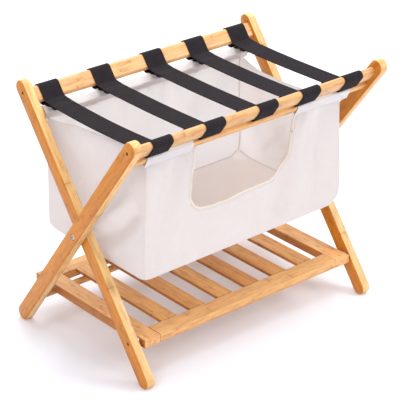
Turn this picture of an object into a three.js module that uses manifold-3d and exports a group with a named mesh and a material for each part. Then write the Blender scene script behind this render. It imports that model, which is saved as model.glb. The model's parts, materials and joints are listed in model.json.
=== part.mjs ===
/**
 * Folding luggage rack.
 *
 * Two bamboo frames cross like an X and turn on each other at the middle of their legs.
 * Webbing straps join their top rails, a canvas bag hangs from two bars below the straps,
 * and a slatted shelf hinges on the inner legs and rests on a dowel between the outer legs.
 *
 * Units are millimetres. +X is right, +Y is back and +Z is up. The origin is on the floor
 * under the middle of the rack. The outer frame leans its top to the front (lean +1), and
 * the inner frame leans its top to the back (lean -1).
 */
import * as THREE from "three";
import { mergeVertices } from "three/addons/utils/BufferGeometryUtils.js";
import Module from "manifold-3d";

const wasm = await Module();
wasm.setup();

// ---------------------------------------------------------------- driving dimensions

const FRAME_WIDTH = 680; // over the outer faces of the outer legs
const LEAN = Math.asin(0.6); // of a leg from upright, with the rack open
const FIT = 0.3; // clearance between pieces that touch

const LEG = { length: 684, width: 34, thickness: 20.8, round: 3, play: 1.6, footFlat: 0.8 };

// Heights are along the leg from the pivot, and insets are across it, towards the inside of the V.
const RAIL = { height: 302.5, inset: 1.5, width: 37, thickness: 16.3, round: 8 };
const BAG_BAR = { height: 266, inset: 0, width: 18, thickness: 15, round: 3, housing: 8 };
const SHELF_DOWEL = { height: -266, radius: 7.5, housing: 8 };
const SHELF_HINGE = { height: -243.5, inset: 3 };
const RAIL_SCREW = { height: 314, inset: 0.5, length: 46 };
const RAIL_PIN = { height: 293, inset: 1.5, radius: 3, inLeg: 10, inRail: 14 };

const SHELF = { front: -170, back: 210, length: 580, thickness: 20, boardWidth: 41, round: 2.5 };
const SLAT = { count: 6, width: 41, thickness: 8 };
const SLAT_TENON = { length: 10, width: 31, thickness: 4 };
const SHELF_TENON = { length: 12, width: 25, thickness: 9 };

const STRAP_CENTRES = [-257, -123, 17, 135, 256];
const STRAP = { width: 50, thickness: 1.8, slack: 0.35 };

const BAG = { left: -281, right: 263, bottom: -54, cloth: 1.5, slack: 0.3, casingOverhang: 8 };
const WINDOW = { left: -159, right: 121, bottom: 62, round: 50 };

const BOLT = { radius: 3, headRadius: 6.2, headHeight: 3.2, recessRadius: 7.5, recessDepth: 4.2 };
const SHELF_BOLT = { radius: 3, headRadius: 4.3, headHeight: 3, recessRadius: 4.8, recessDepth: 5 };
const SCREW = { radius: 2, headRadius: 3.5, headHeight: 2.4, recessRadius: 4, recessDepth: 5 };
const NUT = { radius: 6, height: 4.4, wall: 1.2, recessRadius: 6.4, recessDepth: 5 };
const INSERT = { radius: 5, length: 18, boreLength: 28 };
const WASHER_RADIUS = 9;
const SPACER_RADIUS = 7;

// ---------------------------------------------------------------- values worked out from them

const END_CENTRE = LEG.length / 2 - LEG.width / 2;
const PIVOT_HEIGHT = END_CENTRE * Math.cos(LEAN) + LEG.width / 2 - LEG.footFlat;
const OUTER_FRAME = { lean: 1, outerFace: FRAME_WIDTH / 2 };
const INNER_FRAME = { lean: -1, outerFace: FRAME_WIDTH / 2 - LEG.thickness - LEG.play };
for (const frame of [OUTER_FRAME, INNER_FRAME]) {
  frame.innerFace = frame.outerFace - LEG.thickness;
}
const SIDES = { left: -1, right: 1 };

// The place in the YZ plane, from the pivot, of a point on a frame's leg.
function onFrame(frame, height, inset) {
  return {
    y: frame.lean * (Math.cos(LEAN) * inset - Math.sin(LEAN) * height),
    z: Math.cos(LEAN) * height + Math.sin(LEAN) * inset,
  };
}

// ---------------------------------------------------------------- materials

const bamboo = () => new THREE.MeshStandardMaterial({ color: 0xdda35f, roughness: 0.45 });
const webbing = () => new THREE.MeshStandardMaterial({ color: 0x2c2a30, roughness: 0.9 });
const canvas = () => new THREE.MeshStandardMaterial({ color: 0xe8e2e0, roughness: 0.95 });
const steel = () =>
  new THREE.MeshStandardMaterial({ color: 0xb9bbbe, roughness: 0.35, metalness: 1 });

// ---------------------------------------------------------------- shape helpers

// An extrusion made along Z, turned to lie along X: its x becomes Y and its y becomes Z.
const ALONG_X = new THREE.Matrix4().makeBasis(
  new THREE.Vector3(0, 1, 0),
  new THREE.Vector3(0, 0, 1),
  new THREE.Vector3(1, 0, 0),
);

// The same, turned to lie along Y: its x becomes -X and its y becomes Z.
const ALONG_Y = new THREE.Matrix4().makeBasis(
  new THREE.Vector3(-1, 0, 0),
  new THREE.Vector3(0, 0, 1),
  new THREE.Vector3(0, 1, 0),
);

function toSolid(geometry) {
  const bare = geometry.index ? geometry.toNonIndexed() : geometry.clone();
  bare.deleteAttribute("normal");
  bare.deleteAttribute("uv");
  const merged = mergeVertices(bare, 1e-3);
  const vertProperties = merged.attributes.position.array;
  const triVerts = new Uint32Array(merged.index.array);
  return new wasm.Manifold(new wasm.Mesh({ numProp: 3, vertProperties, triVerts }));
}

function toGeometry(solid) {
  const mesh = solid.getMesh();
  const geometry = new THREE.BufferGeometry();
  geometry.setAttribute("position", new THREE.BufferAttribute(mesh.vertProperties, 3));
  geometry.setIndex(new THREE.BufferAttribute(mesh.triVerts, 1));
  geometry.computeVertexNormals();
  return geometry;
}

function cut(geometry, cutters) {
  const left = cutters.reduce((body, cutter) => body.subtract(toSolid(cutter)), toSolid(geometry));
  return toGeometry(left);
}

function join(geometries) {
  const [first, ...others] = geometries.map(toSolid);
  return toGeometry(others.reduce((body, other) => body.add(other), first));
}

// A rectangle of the given size with round corners, drawn round its own middle.
function roundedRectangle(width, height, round, Kind = THREE.Shape) {
  const x = width / 2 - round;
  const y = height / 2 - round;
  const outline = new Kind();
  outline.absarc(x, y, round, 0, Math.PI / 2);
  outline.absarc(-x, y, round, Math.PI / 2, Math.PI);
  outline.absarc(-x, -y, round, Math.PI, 1.5 * Math.PI);
  outline.absarc(x, -y, round, 1.5 * Math.PI, 2 * Math.PI);
  return outline;
}

// A shape pushed out by a length, centred on it, with its two end faces' edges rounded.
function extrude(shape, length, { round = 0, curveSegments = 2 } = {}) {
  const geometry = new THREE.ExtrudeGeometry(shape, {
    depth: length - 2 * round,
    curveSegments,
    bevelEnabled: round > 0,
    bevelThickness: round,
    bevelSize: round,
    bevelOffset: -round,
    bevelSegments: 2,
  });
  return geometry.translate(0, 0, round - length / 2);
}

// A straight bar along X whose section is thickness (Y) by width (Z).
function bar(length, thickness, width, round) {
  return extrude(roundedRectangle(thickness, width, round), length).applyMatrix4(ALONG_X);
}

// A closed sleeve of cloth along X, round a bar of the given section.
function sleeve(length, section, slack, cloth) {
  const outer = slack + cloth;
  const ring = roundedRectangle(
    section.thickness + 2 * outer,
    section.width + 2 * outer,
    section.round + outer,
  );
  ring.holes.push(
    roundedRectangle(
      section.thickness + 2 * slack,
      section.width + 2 * slack,
      section.round + slack,
      THREE.Path,
    ),
  );
  return extrude(ring, length).applyMatrix4(ALONG_X);
}

// A plain rod along X from x = start, towards +X or, with a negative length, towards -X.
function rod(radius, start, length, y = 0, z = 0) {
  const geometry = new THREE.CylinderGeometry(radius, radius, Math.abs(length), 20);
  return geometry.rotateZ(-Math.PI / 2).translate(start + length / 2, y, z);
}

// A body of revolution about X. Its profile is [distance along X, radius] pairs, drawn towards +X.
function turned(profile) {
  const points = profile.map(([along, radius]) => new THREE.Vector2(radius, along));
  return new THREE.LatheGeometry(points, 20).rotateZ(-Math.PI / 2);
}

// Mirrors a geometry made for the right side onto the side asked for.
function onSide(geometry, side) {
  return side > 0 ? geometry : geometry.rotateZ(Math.PI);
}

function addPiece(group, name, geometry, material, position = [0, 0, 0]) {
  const mesh = new THREE.Mesh(geometry, material);
  mesh.name = name;
  mesh.position.set(...position);
  group.add(mesh);
}

// ---------------------------------------------------------------- legs and bars of a frame

// The leg's outline in its own YZ plane: round ends, with a small flat where the foot meets the floor.
function legOutline(frame) {
  const radius = LEG.width / 2;
  const down = 1.5 * Math.PI - frame.lean * LEAN;
  const flat = Math.acos(1 - LEG.footFlat / radius);
  const outline = new THREE.Shape();
  outline.absarc(0, END_CENTRE, radius, 0, Math.PI);
  outline.absarc(0, -END_CENTRE, radius, Math.PI, down - flat);
  outline.absarc(0, -END_CENTRE, radius, down + flat, 2 * Math.PI);
  return outline;
}

// The holes of a leg on the right side, whose outer face is at x = 0 and inner face at -thickness.
function legHoles(frame) {
  const { lean } = frame;
  const through = -(LEG.thickness + 2);
  const inside = -LEG.thickness;
  const railScrewY = lean * RAIL_SCREW.inset;
  const mortise = bar(
    2 * BAG_BAR.housing,
    BAG_BAR.thickness + 2 * FIT,
    BAG_BAR.width + 2 * FIT,
    BAG_BAR.round,
  ).translate(inside, lean * BAG_BAR.inset, BAG_BAR.height);
  const holes = [
    mortise,
    rod(BOLT.radius + FIT, 1, through),
    rod(SCREW.radius + FIT, 1, through, railScrewY, RAIL_SCREW.height),
    rod(SCREW.recessRadius, 1, -1 - SCREW.recessDepth, railScrewY, RAIL_SCREW.height),
    rod(RAIL_PIN.radius + FIT, inside + RAIL_PIN.inLeg, -20, lean * RAIL_PIN.inset, RAIL_PIN.height),
  ];
  if (frame === OUTER_FRAME) {
    holes.push(
      rod(BOLT.recessRadius, 1, -1 - BOLT.recessDepth),
      rod(SHELF_DOWEL.radius + FIT, inside + SHELF_DOWEL.housing, -20, 0, SHELF_DOWEL.height),
    );
  } else {
    const hingeY = lean * SHELF_HINGE.inset;
    holes.push(
      rod(NUT.recessRadius, inside - 1, 1 + NUT.recessDepth),
      rod(SHELF_BOLT.radius + FIT, 1, through, hingeY, SHELF_HINGE.height),
      rod(SHELF_BOLT.recessRadius, 1, -1 - SHELF_BOLT.recessDepth, hingeY, SHELF_HINGE.height),
    );
  }
  return holes;
}

function leg(frame, side) {
  const blank = extrude(legOutline(frame), LEG.thickness, { round: LEG.round, curveSegments: 6 })
    .applyMatrix4(ALONG_X)
    .translate(-LEG.thickness / 2, 0, 0);
  const drilled = cut(blank, legHoles(frame));
  return side > 0 ? drilled : mirrored(drilled);
}

// The mirror image of a geometry across X = 0, with its faces still pointing out.
function mirrored(geometry) {
  geometry.scale(-1, 1, 1);
  const { array } = geometry.index;
  for (let i = 0; i < array.length; i += 3) {
    [array[i], array[i + 1]] = [array[i + 1], array[i]];
  }
  geometry.computeVertexNormals();
  return geometry;
}

// A top rail, with a pilot hole for its screw and a socket for its pin in each end.
function topRail(frame) {
  const length = 2 * (frame.innerFace - FIT);
  const rail = bar(length, RAIL.thickness, RAIL.width, RAIL.round);
  const holes = Object.values(SIDES).flatMap((side) => [
    rod(
      SCREW.radius + FIT,
      side * (length / 2 + 1),
      side * -(RAIL_SCREW.length - LEG.thickness + 2),
      frame.lean * (RAIL_SCREW.inset - RAIL.inset),
      RAIL_SCREW.height - RAIL.height,
    ),
    rod(
      RAIL_PIN.radius + FIT,
      side * (length / 2 + 1),
      side * -(RAIL_PIN.inRail + 1),
      frame.lean * (RAIL_PIN.inset - RAIL.inset),
      RAIL_PIN.height - RAIL.height,
    ),
  ]);
  return cut(rail, holes);
}

// A bag bar, long enough for its ends to sit in the legs' mortises.
function bagBar(frame) {
  const length = 2 * (frame.innerFace + BAG_BAR.housing - FIT);
  return bar(length, BAG_BAR.thickness, BAG_BAR.width, BAG_BAR.round);
}

// ---------------------------------------------------------------- fasteners, made for the right side

// A button head with a hexagonal socket and a plain shank, its seat at x = 0 and its shank along -X.
function bolt({ radius, headRadius, headHeight }, length) {
  const blank = turned([
    [-length, 0],
    [-length + 1, radius],
    [0, radius],
    [0, headRadius],
    [headHeight * 0.45, headRadius],
    [headHeight * 0.85, headRadius * 0.8],
    [headHeight, headRadius * 0.5],
    [headHeight, 0],
  ]);
  const socket = new THREE.CylinderGeometry(headRadius * 0.42, headRadius * 0.42, headHeight, 6);
  return cut(blank, [socket.rotateZ(-Math.PI / 2).translate(headHeight, 0, 0)]);
}

// A pointed wood screw with a flat recessed head, its seat at x = 0 and its shank along -X.
function woodScrew(length) {
  const blank = turned([
    [-length, 0],
    [-length + 7, SCREW.radius * 0.8],
    [-1.6, SCREW.radius],
    [0, SCREW.headRadius * 0.75],
    [SCREW.headHeight * 0.7, SCREW.headRadius],
    [SCREW.headHeight, SCREW.headRadius],
    [SCREW.headHeight, 0],
  ]);
  const slots = [0, Math.PI / 2].map((turn) =>
    new THREE.BoxGeometry(2.4, SCREW.headRadius * 1.2, 0.9)
      .rotateX(turn)
      .translate(SCREW.headHeight, 0, 0),
  );
  return cut(blank, slots);
}

// A flat ring along X, from x = 0 to its length, which may be negative.
function ring(inner, outer, length) {
  const spare = Math.sign(length);
  return cut(rod(outer, 0, length), [rod(inner, -spare, length + 2 * spare)]);
}

// A round cap nut: open towards +X, closed towards the inside of the rack.
function capNut() {
  return cut(rod(NUT.radius, 0, NUT.height), [rod(BOLT.radius + FIT, NUT.wall, NUT.height)]);
}

function addRailFixings(group, frame, where) {
  for (const [word, side] of Object.entries(SIDES)) {
    const seat = side * (frame.outerFace - SCREW.recessDepth + SCREW.headHeight / 2);
    const pinLength = RAIL_PIN.inLeg + RAIL_PIN.inRail - 2 * FIT;
    const pinStart = side * (frame.innerFace + RAIL_PIN.inLeg - FIT);
    const pin = rod(RAIL_PIN.radius, 0, -side * pinLength);
    const screw = onSide(woodScrew(RAIL_SCREW.length - 4), side);
    addPiece(group, `${where}_rail_screw_${word}`, screw, steel(), [
      seat,
      frame.lean * RAIL_SCREW.inset,
      RAIL_SCREW.height,
    ]);
    addPiece(group, `${where}_rail_pin_${word}`, pin, bamboo(), [
      pinStart,
      frame.lean * RAIL_PIN.inset,
      RAIL_PIN.height,
    ]);
  }
}

// ---------------------------------------------------------------- the two crossing frames

function addFrame(group, frame, name, where) {
  for (const [word, side] of Object.entries(SIDES)) {
    const place = [side * frame.outerFace, 0, 0];
    addPiece(group, `${name}_leg_${word}`, leg(frame, side), bamboo(), place);
  }
  const railPlace = [0, frame.lean * RAIL.inset, RAIL.height];
  const barPlace = [0, frame.lean * BAG_BAR.inset, BAG_BAR.height];
  addPiece(group, `${where}_top_rail`, topRail(frame), bamboo(), railPlace);
  addPiece(group, `${where}_bag_bar`, bagBar(frame), bamboo(), barPlace);
  addRailFixings(group, frame, where);
}

function outerFrame() {
  const group = new THREE.Group();
  group.rotation.x = OUTER_FRAME.lean * LEAN;
  addFrame(group, OUTER_FRAME, "outer", "front");
  const reach = OUTER_FRAME.innerFace + SHELF_DOWEL.housing - FIT;
  const dowel = rod(SHELF_DOWEL.radius, -reach, 2 * reach, 0, SHELF_DOWEL.height);
  addPiece(group, "shelf_rest_dowel", dowel, bamboo());
  return group;
}

function innerFrame() {
  const group = new THREE.Group();
  group.rotation.x = INNER_FRAME.lean * LEAN;
  addFrame(group, INNER_FRAME, "inner", "back");
  return group;
}

// The bolts on which the frames turn, with a washer between the legs and a nut inside each.
function pivots() {
  const group = new THREE.Group();
  const seat = OUTER_FRAME.outerFace - BOLT.recessDepth + FIT;
  const nutPlace = INNER_FRAME.innerFace + FIT;
  const length = seat - nutPlace - 2;
  const washerThickness = LEG.play - 2 * FIT;
  for (const [word, side] of Object.entries(SIDES)) {
    const washer = onSide(ring(BOLT.radius + FIT, WASHER_RADIUS, washerThickness), side);
    addPiece(group, `pivot_bolt_${word}`, onSide(bolt(BOLT, length), side), steel(), [
      side * seat,
      0,
      0,
    ]);
    addPiece(group, `pivot_washer_${word}`, washer, steel(), [
      side * (INNER_FRAME.outerFace + FIT),
      0,
      0,
    ]);
    addPiece(group, `pivot_nut_${word}`, onSide(capNut(), side), steel(), [side * nutPlace, 0, 0]);
  }
  return group;
}

// ---------------------------------------------------------------- shelf

const shelfBottom = SHELF_DOWEL.height * Math.cos(LEAN) + SHELF_DOWEL.radius + FIT;
const shelfTop = shelfBottom + SHELF.thickness;
const shelfMiddle = shelfBottom + SHELF.thickness / 2;
const hinge = onFrame(INNER_FRAME, SHELF_HINGE.height, SHELF_HINGE.inset);

// A board along X with a flat tenon on each end: width is along Y and thickness along Z.
function tenonedBoard(length, width, thickness, tenon) {
  const body = bar(length, width, thickness, SHELF.round);
  const tongue = new THREE.BoxGeometry(length + 2 * tenon.length, tenon.width, tenon.thickness);
  return join([body, tongue]);
}

// A cutter for the mortise that takes a tenon, with clearance all round.
function mortise(size, place) {
  const cutter = new THREE.BoxGeometry(...size.map((value) => value + 2 * FIT));
  return cutter.translate(...place);
}

function slatPlaces() {
  const inside = SHELF.length - 2 * SHELF.boardWidth;
  const space = (inside - SLAT.count * SLAT.width) / (SLAT.count + 1);
  const first = -inside / 2 + space + SLAT.width / 2;
  return Array.from({ length: SLAT.count }, (_, i) => first + i * (SLAT.width + space));
}

function shelfRail(y) {
  const inward = -Math.sign(y);
  const length = SHELF.length - 2 * SHELF.boardWidth - 2 * FIT;
  const board = tenonedBoard(length, SHELF.boardWidth, SHELF.thickness, SHELF_TENON);
  const slatZ = (SHELF.thickness - SLAT.thickness) / 2;
  const edge = (inward * SHELF.boardWidth) / 2;
  const { length: depth, width, thickness } = SLAT_TENON;
  const mortises = slatPlaces().map((x) => mortise([width, 2 * depth, thickness], [x, edge, slatZ]));
  return cut(board, mortises);
}

function shelfEnd(side) {
  const length = SHELF.back - SHELF.front;
  const middle = (SHELF.front + SHELF.back) / 2;
  const outline = roundedRectangle(SHELF.boardWidth, SHELF.thickness, SHELF.round);
  const board = extrude(outline, length, { round: SHELF.round / 2 }).applyMatrix4(ALONG_Y);
  const railOffset = length / 2 - SHELF.boardWidth / 2;
  const inner = (-side * SHELF.boardWidth) / 2;
  const { length: depth, width, thickness } = SHELF_TENON;
  const mortises = [-railOffset, railOffset].map((y) =>
    mortise([2 * depth, width, thickness], [inner, y, 0]),
  );
  const outerFace = (side * SHELF.boardWidth) / 2;
  const bore = rod(
    INSERT.radius + FIT,
    outerFace + side,
    -side * (INSERT.boreLength + 1),
    hinge.y - middle,
    hinge.z - shelfMiddle,
  );
  return cut(board, [...mortises, bore]);
}

function shelf() {
  const group = new THREE.Group();
  group.position.z = shelfMiddle;
  const half = SHELF.boardWidth / 2;
  const rails = { front: SHELF.front + half, back: SHELF.back - half };
  for (const [word, y] of Object.entries(rails)) {
    addPiece(group, `shelf_${word}_rail`, shelfRail(y), bamboo(), [0, y, 0]);
  }
  const middle = (SHELF.front + SHELF.back) / 2;
  for (const [word, side] of Object.entries(SIDES)) {
    const x = side * (SHELF.length / 2 - half);
    addPiece(group, `shelf_end_${word}`, shelfEnd(side), bamboo(), [x, middle, 0]);
    const start = [side * (SHELF.length / 2 - FIT), hinge.y, hinge.z - shelfMiddle];
    const insert = ring(SHELF_BOLT.radius + FIT, INSERT.radius, -side * INSERT.length);
    addPiece(group, `shelf_insert_${word}`, insert, steel(), start);
  }
  const span = SHELF.back - SHELF.front - 2 * SHELF.boardWidth - 2 * FIT;
  const slatZ = (SHELF.thickness - SLAT.thickness) / 2;
  slatPlaces().forEach((x, i) => {
    const slat = tenonedBoard(span, SLAT.width, SLAT.thickness, SLAT_TENON).rotateZ(Math.PI / 2);
    addPiece(group, `shelf_slat_${i + 1}`, slat, bamboo(), [x, middle, slatZ]);
  });
  return group;
}

// The bolts on which the shelf turns, with a spacer between each leg and the shelf.
function shelfHinges() {
  const group = new THREE.Group();
  const seat = INNER_FRAME.outerFace - SHELF_BOLT.recessDepth + FIT;
  const length = seat - SHELF.length / 2 + INSERT.length;
  const spacerLength = INNER_FRAME.innerFace - SHELF.length / 2 - 2 * FIT;
  for (const [word, side] of Object.entries(SIDES)) {
    const hingeBolt = onSide(bolt(SHELF_BOLT, length), side);
    const spacer = onSide(ring(SHELF_BOLT.radius + FIT, SPACER_RADIUS, spacerLength), side);
    const boltPlace = [side * seat, hinge.y, hinge.z];
    const spacerPlace = [side * (SHELF.length / 2 + FIT), hinge.y, hinge.z];
    addPiece(group, `shelf_bolt_${word}`, hingeBolt, steel(), boltPlace);
    addPiece(group, `shelf_spacer_${word}`, spacer, steel(), spacerPlace);
  }
  return group;
}

// ---------------------------------------------------------------- straps

// The loop of a strap round a frame's top rail, in the rack's own directions.
function strapLoop(frame) {
  return sleeve(STRAP.width, RAIL, STRAP.slack, STRAP.thickness)
    .translate(0, frame.lean * RAIL.inset, RAIL.height)
    .rotateX(frame.lean * LEAN);
}

// A strap: a loop round each top rail, and a level band between the rails' lower inner corners.
function strap() {
  const corner = onFrame(
    OUTER_FRAME,
    RAIL.height - RAIL.width / 2 + RAIL.round,
    RAIL.inset + RAIL.thickness / 2 - RAIL.round,
  );
  const reach = Math.abs(corner.y) - RAIL.round - STRAP.slack - STRAP.thickness / 2;
  const band = new THREE.BoxGeometry(STRAP.width, 2 * reach, STRAP.thickness);
  band.translate(0, 0, corner.z);
  return join([strapLoop(OUTER_FRAME), band, strapLoop(INNER_FRAME)]);
}

function straps() {
  const group = new THREE.Group();
  STRAP_CENTRES.forEach((x, i) => {
    addPiece(group, `strap_${i + 1}`, strap(), webbing(), [x, 0, 0]);
  });
  return group;
}

// ---------------------------------------------------------------- bag

// Where the front panel hangs from its casing: under the casing's lower outer corner.
const casingCorner = onFrame(
  OUTER_FRAME,
  BAG_BAR.height - BAG_BAR.width / 2 + BAG_BAR.round,
  BAG_BAR.inset - BAG_BAR.thickness / 2 + BAG_BAR.round,
);
const panelTop = casingCorner.z - BAG_BAR.round - BAG.slack - BAG.cloth - FIT;
const panelY = Math.abs(casingCorner.y);

function casing(frame, left, right) {
  const y = frame.lean * BAG_BAR.inset;
  return sleeve(right - left, BAG_BAR, BAG.slack, BAG.cloth)
    .translate((left + right) / 2, y, BAG_BAR.height)
    .rotateX(frame.lean * LEAN);
}

// The front panel, a U round its window: the window is open at the top, where the bar crosses it.
function frontPanel() {
  const { left, right, bottom, round } = WINDOW;
  const outline = new THREE.Shape();
  outline.moveTo(BAG.left, BAG.bottom);
  outline.lineTo(BAG.right, BAG.bottom);
  outline.lineTo(BAG.right, panelTop);
  outline.lineTo(right, panelTop);
  outline.absarc(right - round, bottom + round, round, 0, -Math.PI / 2, true);
  outline.absarc(left + round, bottom + round, round, -Math.PI / 2, -Math.PI, true);
  outline.lineTo(left, panelTop);
  outline.lineTo(BAG.left, panelTop);
  return extrude(outline, BAG.cloth, { curveSegments: 4 }).rotateX(Math.PI / 2);
}

// A flat piece of the bag between two opposite corners.
function flatPiece(low, high) {
  const size = high.map((value, i) => value - low[i]);
  const middle = high.map((value, i) => (value + low[i]) / 2);
  return new THREE.BoxGeometry(...size).translate(...middle);
}

function bag() {
  const group = new THREE.Group();
  const { left, right, bottom, cloth } = BAG;
  const [start, end] = [left - BAG.casingOverhang, right + BAG.casingOverhang];
  const insideY = panelY - cloth / 2 - FIT;
  const floorTop = bottom + cloth;
  const pieces = {
    bag_front_casing_left: casing(OUTER_FRAME, start, WINDOW.left),
    bag_front_casing_right: casing(OUTER_FRAME, WINDOW.right, end),
    bag_back_casing: casing(INNER_FRAME, start, end),
    bag_front_panel: frontPanel().translate(0, -panelY, 0),
    bag_back_panel: flatPiece(
      [left, panelY - cloth / 2, bottom],
      [right, panelY + cloth / 2, panelTop],
    ),
    bag_left_panel: flatPiece([left, -insideY, bottom], [left + cloth, insideY, panelTop]),
    bag_right_panel: flatPiece([right - cloth, -insideY, bottom], [right, insideY, panelTop]),
    bag_bottom: flatPiece(
      [left + cloth + FIT, -insideY, bottom],
      [right - cloth - FIT, insideY, floorTop],
    ),
  };
  for (const [name, geometry] of Object.entries(pieces)) {
    addPiece(group, name, geometry, canvas());
  }
  return group;
}

// ---------------------------------------------------------------- the rack

const rack = new THREE.Group();
const atPivot = new THREE.Group();
atPivot.position.z = PIVOT_HEIGHT;
atPivot.add(outerFrame(), innerFrame(), pivots(), shelf(), shelfHinges(), straps(), bag());
rack.add(atPivot);

export default rack;
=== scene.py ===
import json
import math
from collections import namedtuple
from functools import partialmethod

import bmesh
import bpy
import numpy as np
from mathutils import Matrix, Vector, noise
from numpy.linalg import norm


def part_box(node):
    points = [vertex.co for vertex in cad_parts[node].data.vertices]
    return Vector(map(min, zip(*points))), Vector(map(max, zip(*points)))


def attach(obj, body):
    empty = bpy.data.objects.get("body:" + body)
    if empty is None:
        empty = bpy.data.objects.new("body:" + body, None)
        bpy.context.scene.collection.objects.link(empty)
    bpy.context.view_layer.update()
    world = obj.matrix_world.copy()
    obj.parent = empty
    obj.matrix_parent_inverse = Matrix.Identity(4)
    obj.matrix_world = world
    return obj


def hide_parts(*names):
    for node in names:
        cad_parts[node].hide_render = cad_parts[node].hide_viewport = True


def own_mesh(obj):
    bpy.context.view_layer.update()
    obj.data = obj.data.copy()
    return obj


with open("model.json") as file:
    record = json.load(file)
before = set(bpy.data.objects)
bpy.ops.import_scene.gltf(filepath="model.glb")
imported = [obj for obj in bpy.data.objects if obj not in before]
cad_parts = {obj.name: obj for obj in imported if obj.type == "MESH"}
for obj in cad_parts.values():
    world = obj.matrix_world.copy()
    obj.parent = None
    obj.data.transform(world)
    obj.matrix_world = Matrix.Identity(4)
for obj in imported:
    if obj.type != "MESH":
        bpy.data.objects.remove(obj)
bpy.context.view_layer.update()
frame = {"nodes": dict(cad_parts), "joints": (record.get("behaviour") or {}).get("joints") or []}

# The folding luggage rack's looks: bamboo, webbing straps, canvas bag, floor, lights and camera.
# Lengths are in metres. +X is right, +Y is back, +Z is up, and the origin is on the floor.

# ---- the frame's geometry

FOLD = next(joint for joint in frame["joints"] if joint["name"] == "fold")
PIVOT = Vector(FOLD["pos_m"])
LEAN = math.asin(0.6)  # of a leg from upright, with the rack open

# A section's height is along the leg from the pivot, and its inset is across it, inwards.
RAIL = {"height": 0.3025, "inset": 0.0015, "width": 0.037, "thickness": 0.0163, "round": 0.008}
BAG_BAR = {"height": 0.266, "inset": 0.0, "width": 0.018, "thickness": 0.015, "round": 0.003}


class Frame:
    """One of the two crossed frames: lean is 1 where its top leans to the front, and -1 to the back."""

    def __init__(self, body, lean):
        self.body = body
        self.lean = lean
        self.along = Vector((0, -lean * math.sin(LEAN), math.cos(LEAN)))
        self.inwards = Vector((0, lean * math.cos(LEAN), math.sin(LEAN)))

    def at(self, height, inset):
        """The (y, z) of a place on this frame."""
        place = PIVOT + height * self.along + inset * self.inwards
        return np.array([place.y, place.z])

    def inset(self, place):
        """How far a (y, z) place is inwards from this frame's middle plane."""
        return (Vector((0, *place)) - PIVOT).dot(self.inwards)


OUTER = Frame("outer_frame", 1)
INNER = Frame("inner_frame", -1)

# ---- mesh helpers


def smooth(value, start, end):
    """0 before start, 1 after end, with a smooth step between them."""
    t = np.clip((np.asarray(value, float) - start) / (end - start), 0, 1)
    return t * t * (3 - 2 * t)


def rounded(corners, radii, step):
    """A line in a plane through its corners, each turned on an arc, with points about step apart."""
    corners = [np.array(c, float) for c in corners]
    line = [corners[0]]
    for before, corner, after, radius in zip(corners, corners[1:], corners[2:], radii):
        back, ahead = unit(before - corner), unit(after - corner)
        half = math.acos(np.clip(back @ ahead, -1, 1)) / 2
        centre = corner + unit(back + ahead) * radius / math.sin(half)
        first = corner + back * radius / math.tan(half) - centre
        last = corner + ahead * radius / math.tan(half) - centre
        turn = math.pi - 2 * half
        count = max(3, math.ceil(turn * radius / step), math.ceil(turn / 0.25))
        for i in range(count + 1):
            share = i / count
            spoke = math.sin((1 - share) * turn) * first + math.sin(share * turn) * last
            line.append(centre + spoke / math.sin(turn))
    line.append(corners[-1])
    filled = [line[0]]
    for a, b in zip(line, line[1:]):
        pieces = max(1, math.ceil(norm(b - a) / step))
        filled += [a + (b - a) * i / pieces for i in range(1, pieces + 1)]
    return np.array(filled)


def lengths(line):
    """How far along a line each of its points is."""
    return np.concatenate([[0], np.cumsum(norm(np.diff(line, axis=0), axis=1))])


def unit(vectors):
    return vectors / np.maximum(norm(vectors, axis=-1, keepdims=True), 1e-12)


def point_normals(points, faces):
    """The area-weighted normal at each point."""
    normals = np.zeros_like(points)
    for face in faces:
        ring = points[list(face)]
        if len(face) > 3:
            area = np.cross(ring[2] - ring[0], ring[-1] - ring[1])
        else:
            area = np.cross(ring[1] - ring[0], ring[2] - ring[0])
        for i in face:
            normals[i] += area
    return unit(normals)


def add_object(name, data):
    """A new object in the scene that shows a mesh, a light or a camera."""
    obj = bpy.data.objects.new(name, data)
    bpy.context.scene.collection.objects.link(obj)
    return obj


def mesh_piece(name, points, faces, materials):
    """A new piece with its materials."""
    mesh = bpy.data.meshes.new(name)
    mesh.from_pydata([tuple(p) for p in points], [], [tuple(f) for f in faces])
    for material in materials:
        mesh.materials.append(material)
    mesh.shade_smooth()
    obj = add_object(name, mesh)
    return obj


def shell(name, points, faces, uvs, thickness, materials, normals=None):
    """Cloth as a closed skin: the faces pushed out by half the thickness, a copy behind them, and a rim.

    uvs holds each face's corners on the flat cloth, in metres. The back takes the last material.
    """
    if normals is None:
        normals = point_normals(points, faces)
    count = len(points)
    both = np.concatenate([points + normals * thickness / 2, points - normals * thickness / 2])
    used = dict.fromkeys((a, b) for face in faces for a, b in zip(face, face[1:] + face[:1]))
    edge = [(a, b) for a, b in used if (b, a) not in used]
    back = [tuple(i + count for i in reversed(face)) for face in faces]
    rim = [(b, a, a + count, b + count) for a, b in edge]
    obj = mesh_piece(name, both, faces + back + rim, materials)
    mesh = obj.data
    where = {i: c for face, corners in zip(faces, uvs) for i, c in zip(face, corners)}
    coordinates = [c for corners in uvs for c in corners]
    coordinates += [c for corners in uvs for c in reversed(corners)]
    coordinates += [where[i] for a, b in edge for i in (b, a, a, b)]
    layer = mesh.uv_layers.new(name="cloth")
    layer.data.foreach_set("uv", np.array(coordinates, float).ravel())
    for polygon in mesh.polygons[len(faces):2 * len(faces)]:
        polygon.material_index = len(materials) - 1
    ends = [unit(np.cross(both[b] - both[a], normals[a])) for a, b in edge]
    loop_normals = [normals[i] for face in faces for i in face]
    loop_normals += [-normals[i - count] for face in back for i in face]
    loop_normals += [end for end in ends for _ in range(4)]
    mesh.normals_split_custom_set([tuple(n) for n in loop_normals])
    return obj


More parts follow.
